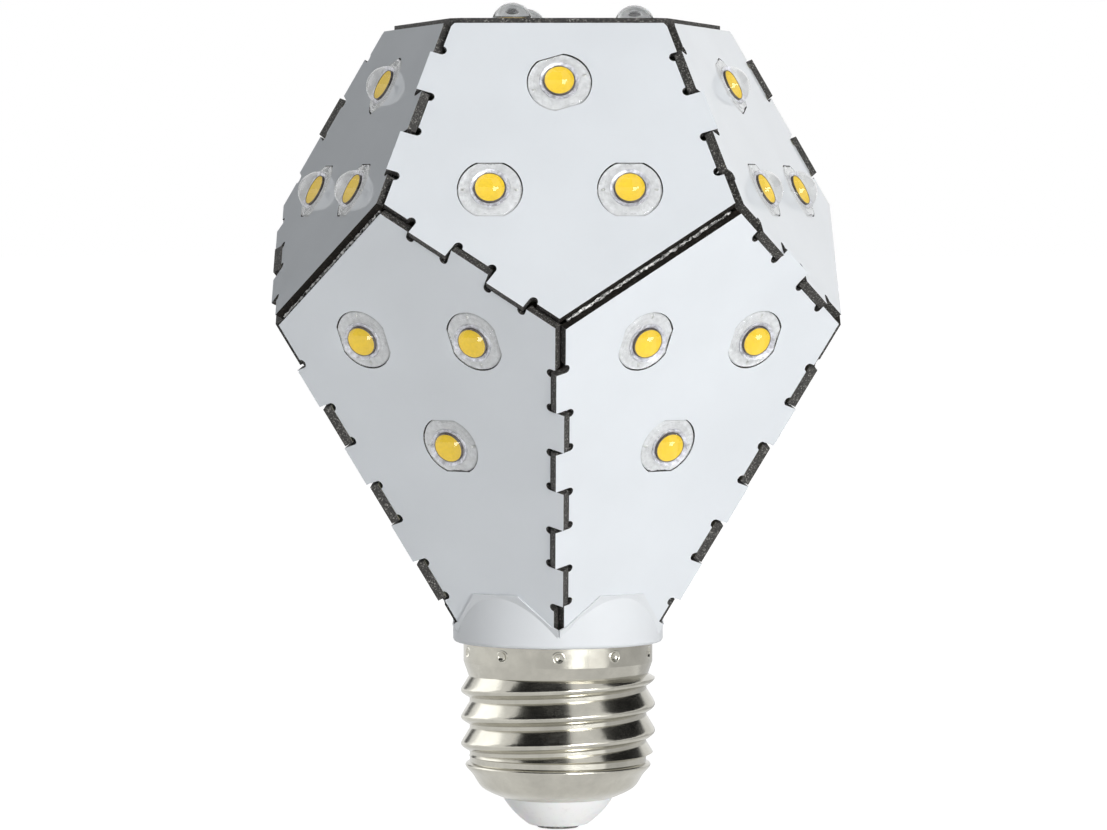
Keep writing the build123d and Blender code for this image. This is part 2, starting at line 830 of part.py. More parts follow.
with BuildPart() as inductor:
    for start, length, radius in (
        (0, inductor_flange, inductor_radius),
        (inductor_flange, inductor_length - 2 * inductor_flange, inductor_core_radius),
        (inductor_length - inductor_flange, inductor_flange, inductor_radius),
    ):
        with BuildSketch(driver_front.offset(start)):
            with Locations((0, floor_top + inductor_rise)):
                Circle(radius)
        extrude(amount=length)
write(inductor.part, "inductor")


def board_block(size, height):
    """A flat moulded piece on the back of the driver board."""
    width, tall, deep = size
    with BuildPart() as block:
        with BuildSketch(driver_back):
            with Locations((0, height)):
                Rectangle(width, tall)
        extrude(amount=deep)
        chamfer(block.edges().group_by(Axis.Y)[-1], block_chamfer)
    return block.part


write(board_block(rectifier_size, floor_top + rectifier_rise), "rectifier")
write(board_block(chip_size, driver_bottom + chip_rise), "driver_chip")

with BuildPart() as fuse_resistor:
    fuse_axis = Plane(
        origin=(-fuse_length / 2, driver_thickness / 2 + fuse_radius, driver_bottom + fuse_rise),
        x_dir=(0, 1, 0),
        z_dir=(1, 0, 0),
    )
    with BuildSketch(fuse_axis):
        Circle(fuse_radius)
    extrude(amount=fuse_length)
    fillet(fuse_resistor.edges().filter_by(GeomType.CIRCLE), fuse_end_round)
write(fuse_resistor.part, "fuse_resistor")


# Leads, each one whole from the piece it leaves to the piece it reaches

wire_front = -driver_thickness / 2 - wire_radius
wire_back = driver_thickness / 2 + wire_radius


def make_lead(soldered_end, board_edge_point, far_end, far_direction):
    """A round wire along the driver board and then in one curve to its other end."""
    rise = (Vector(board_edge_point) - Vector(soldered_end)).normalized()
    with BuildPart() as lead:
        with BuildLine():
            Line(soldered_end, board_edge_point)
            Spline(board_edge_point, far_end, tangents=(rise, far_direction))
        with BuildSketch(Plane(origin=soldered_end, z_dir=rise)):
            Circle(wire_radius)
        sweep()
    return lead.part


write(
    make_lead(
        (0, wire_back, driver_bottom + live_joint_length),
        (0, wire_back, driver_bottom),
        (0, 0, insulator_top),
        (0, 0, -1),
    ),
    "live_lead",
)

neutral_foot = driver_bottom + neutral_joint_rise
neutral_reach = neck_radius - shell_thickness + neutral_end_seat
write(
    make_lead(
        (neutral_offset, wire_back, neutral_foot),
        (neutral_offset, wire_back, neutral_foot + neutral_joint_length),
        (neutral_reach, wire_back, neck_height + neutral_end_rise),
        (1, 0, 0),
    ),
    "neutral_lead",
)

for name, side, face in (
    ("positive_lead", 1, lower_faces[0]),
    ("negative_lead", -1, lower_faces[4]),
):
    landing = face.from_local_coords(
        Vector(0, output_landing_rise - lower_board_reach, -board_thickness)
    )
    write(
        make_lead(
            (side * output_offset, wire_front, driver_top - output_joint_length),
            (side * output_offset, wire_front, driver_top),
            landing,
            face.z_dir,
        ),
        name,
    )
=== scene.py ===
from math import asin, atan, atan2, cos, degrees, pi, radians, sin, sqrt, tan

import bmesh
import bpy
from bpy.props import FloatProperty, FloatVectorProperty, PointerProperty
from mathutils import Euler, Matrix, Vector


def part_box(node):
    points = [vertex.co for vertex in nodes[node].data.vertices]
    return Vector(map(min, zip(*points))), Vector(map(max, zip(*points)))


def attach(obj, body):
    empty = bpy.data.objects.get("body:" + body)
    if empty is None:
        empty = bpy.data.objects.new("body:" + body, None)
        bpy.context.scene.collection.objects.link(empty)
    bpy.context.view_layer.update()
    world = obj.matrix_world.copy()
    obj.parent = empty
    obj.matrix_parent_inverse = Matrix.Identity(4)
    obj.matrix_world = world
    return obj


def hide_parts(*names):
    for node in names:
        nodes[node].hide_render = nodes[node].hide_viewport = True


bl_info = {
    "name": "Lantern lamp finish",
    "version": (1, 0, 0),
    "blender": (4, 5, 0),
    "location": "3D View > Sidebar > Lantern lamp",
    "description": "Finishes, small pieces and stage for a lamp folded from circuit boards",
    "category": "Object",
}

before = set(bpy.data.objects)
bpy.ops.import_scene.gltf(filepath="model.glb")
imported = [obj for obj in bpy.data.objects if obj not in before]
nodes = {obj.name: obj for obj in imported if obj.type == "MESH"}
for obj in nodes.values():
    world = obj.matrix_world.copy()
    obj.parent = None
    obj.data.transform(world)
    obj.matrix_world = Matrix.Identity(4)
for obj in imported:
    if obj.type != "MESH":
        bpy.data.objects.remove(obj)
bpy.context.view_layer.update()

MM = 0.001
FACES_ROUND = 5
TURN = 360 / FACES_ROUND
# Direction of the folded edge on an upper and on a lower board, from the board's x axis
FOLD_ANGLE_UPPER = -54
FOLD_ANGLE_LOWER = 126
CRIMP_COUNT = 10
# Parts of the floor as the metal mirrors them: from and to which azimuth, and how bright
FLOOR_CARDS = (
    (-178, -60, 0.90),
    (-60, -24, 0.86),
    (-24, 6, 0.78),
    (6, 36, 1.05),
    (36, 60, 1.55),
    (60, 178, 0.68),
)


# Sizes and colours that a user would change

def length(label, words, value):
    """A length in metres that the panel shows, as a property."""
    return FloatProperty(name=label, description=words, default=value, subtype="DISTANCE", unit="LENGTH")


def angle(label, words, value):
    """An angle in radians that the panel shows in degrees, as a property."""
    return FloatProperty(name=label, description=words, default=value, subtype="ANGLE", unit="ROTATION")


def face_distance(board_edge):
    """From the lantern's middle to each of its five-sided faces."""
    apothem = board_edge / (2 * tan(pi / FACES_ROUND))
    return apothem * tan((pi - atan(2)) / 2)


BOARD_EDGE = 29 * MM
LANTERN_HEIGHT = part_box("top_board")[1][2] - face_distance(BOARD_EDGE)


class LampSizes(bpy.types.PropertyGroup):
    board_edge: length("Board edge", "Edge of the five-sided boards", BOARD_EDGE)
    lantern_height: length("Lantern height", "From the contact to the lantern's middle", LANTERN_HEIGHT)
    board_thickness: length("Board thickness", "Thickness of the circuit boards", 1.2 * MM)
    emitter_spacing: length("Emitter spacing", "Distance between a board's emitters", 18 * MM)
    emitter_tilt: angle("Emitter tilt", "Turn of the upper boards' highest emitter", radians(18))
    case_depth: length("Case depth", "How deep the emitters' cases lie in the boards", 0.25 * MM)
    flange_radius: length("Flange radius", "Outside of the clear flange round a dome", 3.98 * MM)
    flange_flats: length("Flange flats", "Distance between the flange's two flats", 7.16 * MM)
    flange_height: length("Flange height", "Top of the clear flange over the board", 0.1 * MM)
    dome_radius: length("Dome radius", "Radius of a dome at its foot", 2.75 * MM)
    dome_height: length("Dome height", "Top of a dome over the board", 2.5 * MM)
    phosphor_radius: length("Phosphor radius", "Radius of the yellow disc", 1.5 * MM)
    lead_tip: length("Lead tip", "Length of the small lead ends beside each dome", 0.45 * MM)
    bead_radius: length("Bead radius", "Radius of the solder bead in a fold", 0.17 * MM)
    bead_depth: length("Bead depth", "Depth of the bead's middle under a fold's sharp edge", 1.24 * MM)
    skirt_radius: length("Skirt radius", "Outside of the shell's plain skirt", 12.8 * MM)
    crimp_height: length("Crimp height", "From the contact to the crimped dimples", 24.0 * MM)
    crimp_radius: length("Crimp radius", "Radius of a crimped dimple", 0.65 * MM)
    crimp_depth: length("Crimp depth", "Depth of a crimped dimple", 0.3 * MM)
    camera_distance: length("Camera distance", "From the lamp's axis to the camera", 643.8 * MM)
    camera_height: length("Camera height", "From the floor to the camera", 81.3 * MM)
    floor_size: length("Floor size", "Width of the plain floor", 24.0)


def colour(label, words, red, green, blue):
    """A colour that the panel shows, as a property."""
    return FloatVectorProperty(
        name=label, description=words, size=3, min=0, max=1, subtype="COLOR",
        default=(red, green, blue),
    )


class LampColours(bpy.types.PropertyGroup):
    mask: colour("Mask", "White solder mask of the boards", 0.80, 0.83, 0.86)
    # Partly painted shade: the cut edges' charcoal is the core's own dark grey, deepened to the tone of the
    # shaded seams between boards.
    cut_edge: colour("Cut edge", "Dark core seen where a board is cut", 0.036, 0.034, 0.031)
    # Painted shade: the fold sides' nearly black stands for the shade deep in the groove between two boards.
    fold_edge: colour("Fold edge", "Nearly black sides of the folds", 0.012, 0.010, 0.008)
    collar: colour("Collar", "White plastic of the collar", 0.75, 0.77, 0.79)
    shell: colour("Shell", "Plated metal of the screw shell", 0.54, 0.525, 0.465)
    insulator: colour("Insulator", "White insulator in the cap", 0.90, 0.90, 0.90)
    phosphor: colour("Phosphor", "Yellow disc under each dome", 0.60, 0.40, 0.005)
    reflector: colour("Reflector", "Grey dish round the yellow disc", 0.50, 0.50, 0.54)
    case: colour("Case", "Moulded case of the emitters", 0.52, 0.53, 0.54)
    solder: colour("Solder", "Solder and tinned metal", 0.72, 0.72, 0.70)
    floor: colour("Floor", "Plain pale floor", 0.90, 0.90, 0.90)


# Where the boards and emitters are

def side_face(azimuth, rises):
    """Frame of a side board: origin in its middle, x along it, y up it and z out of it."""
    sizes = bpy.context.scene.lamp_sizes
    tilt = atan(1 / 2)
    turn = radians(azimuth)
    across = Vector((cos(turn), sin(turn), 0))
    outward = Vector((sin(turn) * cos(tilt), -cos(turn) * cos(tilt), rises * sin(tilt)))
    up = outward.cross(across)
    middle = Vector((0, 0, sizes.lantern_height)) + outward * face_distance(sizes.board_edge)
    return Matrix.Translation(middle) @ Matrix((across, up, outward)).transposed().to_4x4()


def top_face():
    """Frame of the top board."""
    sizes = bpy.context.scene.lamp_sizes
    return Matrix.Translation((0, 0, sizes.lantern_height + face_distance(sizes.board_edge)))


def upper_faces():
    return [side_face(TURN * number, 1) for number in range(FACES_ROUND)]


def lower_faces():
    return [side_face(TURN * (number + 0.5), -1) for number in range(FACES_ROUND)]


def fold_frame(number):
    """Frame of a fold: origin on its sharp edge's middle, z along it and y out of the lantern."""
    sizes = bpy.context.scene.lamp_sizes
    upper = upper_faces()[number]
    lower = lower_faces()[number]
    apothem = sizes.board_edge / (2 * tan(pi / FACES_ROUND))
    edge_angle = radians(FOLD_ANGLE_UPPER)
    middle = upper @ Vector((apothem * cos(edge_angle), apothem * sin(edge_angle), 0))
    outward = (middle - Vector((0, 0, sizes.lantern_height))).normalized()
    along = (upper.to_3x3() @ Vector((0, 0, 1))).cross(lower.to_3x3() @ Vector((0, 0, 1))).normalized()
    axes = Matrix((outward.cross(along), outward, along)).transposed()
    return Matrix.Translation(middle) @ axes.to_4x4()


def emitter_places(face, first_angle, turns):
    """Frames of a board's three emitters."""
    ring = bpy.context.scene.lamp_sizes.emitter_spacing / sqrt(3)
    places = []
    for number, turn in enumerate(turns):
        angle = radians(first_angle + 120 * number)
        shift = Matrix.Translation((ring * cos(angle), ring * sin(angle), 0))
        places.append(face @ shift @ Matrix.Rotation(turn, 4, "Z"))
    return places


def emitter_groups():
    """Frames of the emitters on the top board, the upper boards and the lower boards."""
    tilt = bpy.context.scene.lamp_sizes.emitter_tilt
    upper = [place for face in upper_faces() for place in emitter_places(face, 90, (tilt, 0, 0))]
    lower = [
        place
        for face in lower_faces()
        for place in emitter_places(face, 30, (pi / 2, pi / 2, 0))
    ]
    return {"top": emitter_places(top_face(), -126, (0, 0, 0)), "upper": upper, "lower": lower}


# Tools for materials

def new_material(name):
    """A material with its node tree and its main shader."""
    material = bpy.data.materials.new(name)
    material.use_nodes = True
    tree = material.node_tree
    shader = tree.nodes["Principled BSDF"]
    return material, tree, shader


def object_coordinates(tree, scale=(1, 1, 1)):
    """Object coordinates, stretched by a Mapping node."""
    place = tree.nodes.new("ShaderNodeTexCoord")
    mapping = tree.nodes.new("ShaderNodeMapping")
    mapping.inputs["Scale"].default_value = scale
    tree.links.new(place.outputs["Object"], mapping.inputs["Vector"])
    return mapping.outputs["Vector"]


def noise(tree, coordinates, scale, detail=3, roughness=0.5):
    """Value of a noise pattern; scale is in cells per metre."""
    node = tree.nodes.new("ShaderNodeTexNoise")
    node.inputs["Scale"].default_value = scale
    node.inputs["Detail"].default_value = detail
    node.inputs["Roughness"].default_value = roughness
    tree.links.new(coordinates, node.inputs["Vector"])
    return node.outputs["Fac"]


def ramp(tree, value, stops):
    """Colours along a value; stops are (position, colour)."""
    node = tree.nodes.new("ShaderNodeValToRGB")
    node.color_ramp.elements[0].position = stops[0][0]
    node.color_ramp.elements[0].color = (*stops[0][1], 1)
    node.color_ramp.elements[1].position = stops[-1][0]
    node.color_ramp.elements[1].color = (*stops[-1][1], 1)
    for position, shade in stops[1:-1]:
        node.color_ramp.elements.new(position).color = (*shade, 1)
    tree.links.new(value, node.inputs["Fac"])
    return node.outputs["Color"]


def spread(tree, value, low, high):
    """A value between 0 and 1 stretched to lie between low and high."""
    node = tree.nodes.new("ShaderNodeMapRange")
    node.inputs["To Min"].default_value = low
    node.inputs["To Max"].default_value = high
    tree.links.new(value, node.inputs["Value"])
    return node.outputs["Result"]


def bump(tree, shader, value, strength, distance):
    """A fine relief on a shader from a value; distance is the relief's height."""
    node = tree.nodes.new("ShaderNodeBump")
    node.inputs["Strength"].default_value = strength
    node.inputs["Distance"].default_value = distance
    tree.links.new(value, node.inputs["Height"])
    tree.links.new(node.outputs["Normal"], shader.inputs["Normal"])


def shades(base, low, high):
    """A darker and a lighter shade of a colour."""
    return tuple(part * low for part in base), tuple(min(1, part * high) for part in base)


# Materials, one function each

def mask_material(name="solder mask"):
    """White solder mask: satin, a little uneven, with a fine orange peel."""
    base = bpy.context.scene.lamp_colours.mask
    material, tree, shader = new_material(name)
    place = object_coordinates(tree)
    dark, light = shades(base, 0.965, 1.02)
    tree.links.new(ramp(tree, noise(tree, place, 55), [(0.3, dark), (0.7, light)]), shader.inputs["Base Color"])
    tree.links.new(spread(tree, noise(tree, place, 260, 4), 0.06, 0.12), shader.inputs["Roughness"])
    shader.inputs["Specular IOR Level"].default_value = 0.42
    bump(tree, shader, noise(tree, place, 1900, 3), 0.08, 0.02 * MM)
    return material


def cut_edge_material():
    """Sawn laminate: dark grey core, deepened to charcoal as painted shade of the seams between boards, with
    fibre ends as small pale specks.
    """
    base = bpy.context.scene.lamp_colours.cut_edge
    material, tree, shader = new_material("cut edge")
    place = object_coordinates(tree)
    dark, light = shades(base, 0.35, 2.4)
    specks = noise(tree, place, 4200, 4, 0.75)
    stops = [(0.36, dark), (0.52, tuple(base)), (0.58, light), (0.66, (0.42, 0.41, 0.38))]
    tree.links.new(ramp(tree, specks, stops), shader.inputs["Base Color"])
    tree.links.new(spread(tree, specks, 0.5, 0.9), shader.inputs["Roughness"])
    bump(tree, shader, specks, 0.5, 0.05 * MM)
    return material


def fold_edge_material():
    """Sides of the folds, routed into the boards, nearly black as painted shade deep in the groove between two
    boards, and browned by the soldering.
    """
    base = bpy.context.scene.lamp_colours.fold_edge
    material, tree, shader = new_material("fold edge")
    place = object_coordinates(tree)
    grain = noise(tree, place, 3000, 4, 0.7)
    dark, light = shades(base, 0.5, 2.2)
    stops = [(0.4, dark), (0.6, light), (0.7, (0.08, 0.07, 0.055))]
    tree.links.new(ramp(tree, grain, stops), shader.inputs["Base Color"])
    tree.links.new(spread(tree, grain, 0.6, 0.9), shader.inputs["Roughness"])
    shader.inputs["Specular IOR Level"].default_value = 0.2
    bump(tree, shader, grain, 0.4, 0.05 * MM)
    return material


def laminate_material():
    """Bare inner side of the boards: pale woven laminate."""
    material, tree, shader = new_material("bare laminate")
    place = object_coordinates(tree)
    weave = noise(tree, place, 1400, 5, 0.7)
    tree.links.new(
        ramp(tree, weave, [(0.3, (0.30, 0.29, 0.22)), (0.7, (0.46, 0.45, 0.36))]),
        shader.inputs["Base Color"],
    )
    shader.inputs["Roughness"].default_value = 0.6
    bump(tree, shader, weave, 0.3, 0.03 * MM)
    return material


def dome_material():
    """Clear silicone that bends light and lets it through to what lies under it."""
    material, tree, shader = new_material("clear silicone")
    shader.inputs["Base Color"].default_value = (0.98, 0.985, 0.98, 1)
    shader.inputs["Transmission Weight"].default_value = 1
    shader.inputs["IOR"].default_value = 1.42
    place = object_coordinates(tree)
    tree.links.new(spread(tree, noise(tree, place, 900, 2), 0.0, 0.04), shader.inputs["Roughness"])
    bump(tree, shader, noise(tree, place, 500, 2), 0.06, 0.03 * MM)
    rays = tree.nodes.new("ShaderNodeLightPath")
    clear = tree.nodes.new("ShaderNodeBsdfTransparent")
    mix = tree.nodes.new("ShaderNodeMixShader")
    tree.links.new(rays.outputs["Is Shadow Ray"], mix.inputs[0])
    tree.links.new(shader.outputs[0], mix.inputs[1])
    tree.links.new(clear.outputs[0], mix.inputs[2])
    tree.links.new(mix.outputs[0], tree.nodes["Material Output"].inputs["Surface"])
    return material


def phosphor_material():
    """Yellow phosphor, grainy and a little deeper in places."""
    base = bpy.context.scene.lamp_colours.phosphor
    material, tree, shader = new_material("phosphor")
    place = object_coordinates(tree)
    grain = noise(tree, place, 4200, 4, 0.6)
    dark, light = shades(base, 0.90, 1.05)
    tree.links.new(ramp(tree, grain, [(0.35, dark), (0.65, light)]), shader.inputs["Base Color"])
    shader.inputs["Roughness"].default_value = 0.55
    bump(tree, shader, grain, 0.2, 0.02 * MM)
    return material


def reflector_material():
    """Satin dish round the phosphor, with a fine uneven grain."""
    base = bpy.context.scene.lamp_colours.reflector
    material, tree, shader = new_material("reflector dish")
    place = object_coordinates(tree)
    streaks = noise(tree, place, 2200, 4, 0.7)
    dark, light = shades(base, 0.55, 1.5)
    tree.links.new(ramp(tree, streaks, [(0.35, dark), (0.65, light)]), shader.inputs["Base Color"])
    shader.inputs["Metallic"].default_value = 0.4
    tree.links.new(spread(tree, streaks, 0.25, 0.5), shader.inputs["Roughness"])
    bump(tree, shader, streaks, 0.3, 0.03 * MM)
    return material


def case_material():
    """Moulded emitter case: pale and slightly mottled."""
    base = bpy.context.scene.lamp_colours.case
    material, tree, shader = new_material("emitter case")
    place = object_coordinates(tree)
    cloud = noise(tree, place, 1500, 4, 0.6)
    dark, light = shades(base, 0.82, 1.08)
    tree.links.new(ramp(tree, cloud, [(0.35, dark), (0.65, light)]), shader.inputs["Base Color"])
    tree.links.new(spread(tree, cloud, 0.25, 0.45), shader.inputs["Roughness"])
    bump(tree, shader, cloud, 0.25, 0.04 * MM)
    return material


def solder_material(name="solder"):
    """Tin: bright, lumpy metal with dull patches."""
    base = bpy.context.scene.lamp_colours.solder
    material, tree, shader = new_material(name)
    place = object_coordinates(tree)
    lumps = noise(tree, place, 2600, 4, 0.65)
    dark, light = shades(base, 0.55, 1.2)
    tree.links.new(ramp(tree, lumps, [(0.38, dark), (0.62, light)]), shader.inputs["Base Color"])
    shader.inputs["Metallic"].default_value = 1
    tree.links.new(spread(tree, lumps, 0.18, 0.5), shader.inputs["Roughness"])
    bump(tree, shader, lumps, 0.5, 0.05 * MM)
    return material


def contact_material():
    """Centre contact: tin painted dark as the shade under the lamp, with worn brighter patches."""
    material, tree, shader = new_material("contact metal")
    place = object_coordinates(tree)
    wear = noise(tree, place, 1500, 4, 0.65)
    # Painted shade: the near-black stop stands for the shade under the lamp on its contact.
    stops = [(0.38, (0.05, 0.05, 0.045)), (0.66, (0.30, 0.29, 0.27))]
    tree.links.new(ramp(tree, wear, stops), shader.inputs["Base Color"])
    shader.inputs["Metallic"].default_value = 0.7
    tree.links.new(spread(tree, wear, 0.6, 0.35), shader.inputs["Roughness"])
    bump(tree, shader, wear, 0.3, 0.05 * MM)
    return material


def fold_core_material():
    """Metal strip under a fold, dull, painted with the fold sides' nearly black as shade deep in the groove,
    with paler patches.
    """
    # Painted shade: the strip starts from the fold sides' nearly black, the shade in the groove.
    base = bpy.context.scene.lamp_colours.fold_edge
    material, tree, shader = new_material("fold core")
    place = object_coordinates(tree)
    patches = noise(tree, place, 900, 5, 0.7)
    tree.links.new(
        ramp(tree, patches, [(0.45, tuple(base)), (0.65, (0.10, 0.09, 0.08))]),
        shader.inputs["Base Color"],
    )
    tree.links.new(spread(tree, patches, 0.7, 0.4), shader.inputs["Roughness"])
    bump(tree, shader, patches, 0.5, 0.06 * MM)
    return material


def bead_material():
    """Solder bead in a fold: dull bright tin, broken by black flux."""
    base = bpy.context.scene.lamp_colours.solder
    material, tree, shader = new_material("solder bead")
    place = object_coordinates(tree)
    patches = noise(tree, place, 1900, 5, 0.75)
    black = (0.014, 0.012, 0.010)
    stops = [(0.44, black), (0.48, shades(base, 0.6, 1)[0]), (0.58, tuple(base))]
    tree.links.new(ramp(tree, patches, stops), shader.inputs["Base Color"])
    shader.inputs["Metallic"].default_value = 0.25
    tree.links.new(spread(tree, patches, 0.6, 0.3), shader.inputs["Roughness"])
    bump(tree, shader, patches, 0.6, 0.06 * MM)
    return material


def collar_material():
    """White moulded plastic with a soft sheen and the faintest sparked texture."""
    base = bpy.context.scene.lamp_colours.collar
    material, tree, shader = new_material("white plastic")
    place = object_coordinates(tree)
    cloud = noise(tree, place, 90)
    dark, light = shades(base, 0.97, 1.02)
    tree.links.new(ramp(tree, cloud, [(0.3, dark), (0.7, light)]), shader.inputs["Base Color"])
    tree.links.new(spread(tree, noise(tree, place, 400), 0.45, 0.58), shader.inputs["Roughness"])
    shader.inputs["Specular IOR Level"].default_value = 0.3
    shader.inputs["Subsurface Weight"].default_value = 0.12
    shader.inputs["Subsurface Radius"].default_value = (1, 1, 1)
    shader.inputs["Subsurface Scale"].default_value = 0.6 * MM
    bump(tree, shader, noise(tree, place, 3000, 3), 0.1, 0.02 * MM)
    return material


def shell_material():
    """Plated sheet: drawn and rolled metal with turning marks, smudges and a warm tone."""
    base = bpy.context.scene.lamp_colours.shell
    material, tree, shader = new_material("plated shell")
    place = object_coordinates(tree)
    rings = noise(tree, object_coordinates(tree, (0.05, 0.05, 1)), 4500, 3)
    smudges = noise(tree, place, 160, 4, 0.6)
    warm, pale = shades(base, 0.86, 1.08)
    tree.links.new(ramp(tree, smudges, [(0.35, warm), (0.65, pale)]), shader.inputs["Base Color"])
    shader.inputs["Metallic"].default_value = 1
    tree.links.new(spread(tree, smudges, 0.10, 0.26), shader.inputs["Roughness"])
    bump(tree, shader, rings, 0.12, 0.02 * MM)
    return material


def insulator_material():
    """White glassy insulator with a few darker grains."""
    base = bpy.context.scene.lamp_colours.insulator
    material, tree, shader = new_material("insulator")
    place = object_coordinates(tree)
    grains = noise(tree, place, 1300, 5, 0.7)
    dark, light = shades(base, 0.93, 1.02)
    tree.links.new(ramp(tree, grains, [(0.3, dark), (0.45, light)]), shader.inputs["Base Color"])
    shader.inputs["Roughness"].default_value = 0.42
    shader.inputs["Subsurface Weight"].default_value = 0.15
    shader.inputs["Subsurface Scale"].default_value = 0.8 * MM
    bump(tree, shader, grains, 0.12, 0.03 * MM)
    return material


def mottled_material(name, base, roughness, scale=1200, relief=0.2, metallic=0):
    """A plain finish of one colour with grain, for the pieces inside the lamp."""
    material, tree, shader = new_material(name)
    place = object_coordinates(tree)
    grain = noise(tree, place, scale, 4, 0.6)
    dark, light = shades(base, 0.8, 1.15)
    tree.links.new(ramp(tree, grain, [(0.35, dark), (0.65, light)]), shader.inputs["Base Color"])
    shader.inputs["Roughness"].default_value = roughness
    shader.inputs["Metallic"].default_value = metallic
    bump(tree, shader, grain, relief, 0.03 * MM)
    return material


def white_stage_material(name):
    """The floor: white where it is seen, and it keeps the lamp's shadow."""
    base = bpy.context.scene.lamp_colours.floor
    material, tree, shader = new_material(name)
    shader.inputs["Base Color"].default_value = (*base, 1)
    shader.inputs["Roughness"].default_value = 0.9
    shader.inputs["Specular IOR Level"].default_value = 0.1
    glow = tree.nodes.new("ShaderNodeEmission")
    glow.inputs["Strength"].default_value = 1.68
    rays = tree.nodes.new("ShaderNodeLightPath")
    seen = tree.nodes.new("ShaderNodeMath")
    seen.operation = "MAXIMUM"
    through = tree.nodes.new("ShaderNodeMath")
    through.operation = "MAXIMUM"
    mostly = tree.nodes.new("ShaderNodeMath")
    mostly.operation = "MULTIPLY"
    mostly.inputs[1].default_value = 0.52
    mix = tree.nodes.new("ShaderNodeMixShader")
    tree.links.new(rays.outputs["Is Camera Ray"], seen.inputs[0])
    tree.links.new(rays.outputs["Is Glossy Ray"], seen.inputs[1])
    tree.links.new(seen.outputs[0], through.inputs[0])
    tree.links.new(rays.outputs["Is Transmission Ray"], through.inputs[1])
    tree.links.new(through.outputs[0], mostly.inputs[0])
    tree.links.new(mostly.outputs[0], mix.inputs[0])
    tree.links.new(shader.outputs[0], mix.inputs[1])
    tree.links.new(glow.outputs[0], mix.inputs[2])
    tree.links.new(mix.outputs[0], tree.nodes["Material Output"].inputs["Surface"])
    return material


# Tools for pieces

def dress(name, *materials):
    """Gives a CAD node its materials."""
    mesh = nodes[name].data
    mesh.materials.clear()
    for material in materials:
        mesh.materials.append(material)


def dress_all(start, material):
    """Gives one material to every CAD node whose name starts with a word."""
    for name in nodes:
        if name.startswith(start):
            dress(name, material)


def clear_selection():
    """Leaves nothing selected and no edit mode open."""
    if bpy.context.object and bpy.context.object.mode != "OBJECT":
        bpy.ops.object.mode_set(mode="OBJECT")
    bpy.ops.object.select_all(action="DESELECT")


def select_only(obj):
    clear_selection()
    obj.select_set(True)
    bpy.context.view_layer.objects.active = obj


def select_faces(obj, test):
    """In edit mode, selects the faces whose centre and normal pass a test."""
    bpy.ops.mesh.select_mode(type="FACE")
    bpy.ops.mesh.select_all(action="DESELECT")
    mesh = bmesh.from_edit_mesh(obj.data)
    for face in mesh.faces:
        face.select = test(face.calc_center_median(), face.normal)
    mesh.select_flush_mode()
    bmesh.update_edit_mesh(obj.data)


def grow_rings(radius, height, rings):
    """From a filled circle, extrudes ring after ring, each given as (radius, height)."""
    clear_selection()
    bpy.ops.mesh.primitive_circle_add(
        vertices=48, radius=radius, fill_type="NGON", location=(0, 0, height),
    )
    bpy.ops.object.transform_apply(location=True, rotation=True, scale=True)
    turned = bpy.context.object
    bpy.ops.object.mode_set(mode="EDIT")
    bpy.ops.mesh.select_all(action="SELECT")
    for next_radius, next_height in rings:
        bpy.ops.mesh.extrude_region_move(
            TRANSFORM_OT_translate={"value": (0, 0, next_height - height)}
        )
        share = next_radius / radius
        bpy.ops.transform.resize(value=(share, share, 1), center_override=(0, 0, next_height))
        radius = next_radius
        height = next_height
    return turned


def grow_tube(radius, height, rings):
    """From an open circle, extrudes ring after ring and closes the last to the first."""
    clear_selection()
    bpy.ops.mesh.primitive_circle_add(
        vertices=48, radius=radius, fill_type="NOTHING", location=(0, 0, height),
    )
    bpy.ops.object.transform_apply(location=True, rotation=True, scale=True)
    turned = bpy.context.object
    bpy.ops.object.mode_set(mode="EDIT")
    bpy.ops.mesh.select_mode(type="EDGE")
    bpy.ops.mesh.select_all(action="SELECT")
    for next_radius, next_height in rings:
        bpy.ops.mesh.extrude_region_move(
            TRANSFORM_OT_translate={"value": (0, 0, next_height - height)}
        )
        share = next_radius / radius
        bpy.ops.transform.resize(value=(share, share, 1), center_override=(0, 0, next_height))
        radius = next_radius
        height = next_height
    bpy.ops.mesh.select_all(action="DESELECT")
    bpy.ops.mesh.select_non_manifold()
    bpy.ops.mesh.bridge_edge_loops()
    return turned


def close_and_smooth(obj, turn=radians(40)):
    """Turns the faces outwards and smooths what bends less than an angle."""
    bpy.ops.object.mode_set(mode="EDIT")
    bpy.ops.mesh.select_all(action="SELECT")
    bpy.ops.mesh.normals_make_consistent(inside=False)
    bpy.ops.object.mode_set(mode="OBJECT")
    select_only(obj)
    bpy.ops.object.shade_smooth_by_angle(angle=turn)


def copy_to_places(template, places, name, material, body="root"):
    """One piece made of copies of a template at several places, each copy its own mesh."""
    copies = []
    for place in places:
        copy = template.copy()
        copy.data = template.data.copy()
        bpy.context.scene.collection.objects.link(copy)
        copy.data.transform(place)
        copies.append(copy)
    clear_selection()
    for copy in copies:
        copy.select_set(True)
    bpy.context.view_layer.objects.active = copies[0]
    if len(copies) > 1:
        bpy.ops.object.join()
    piece = bpy.context.object
    piece.name = name
    piece.data.materials.clear()
    piece.data.materials.append(material)
    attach(piece, body)
    return piece


# Operators, one for each piece or group of like pieces

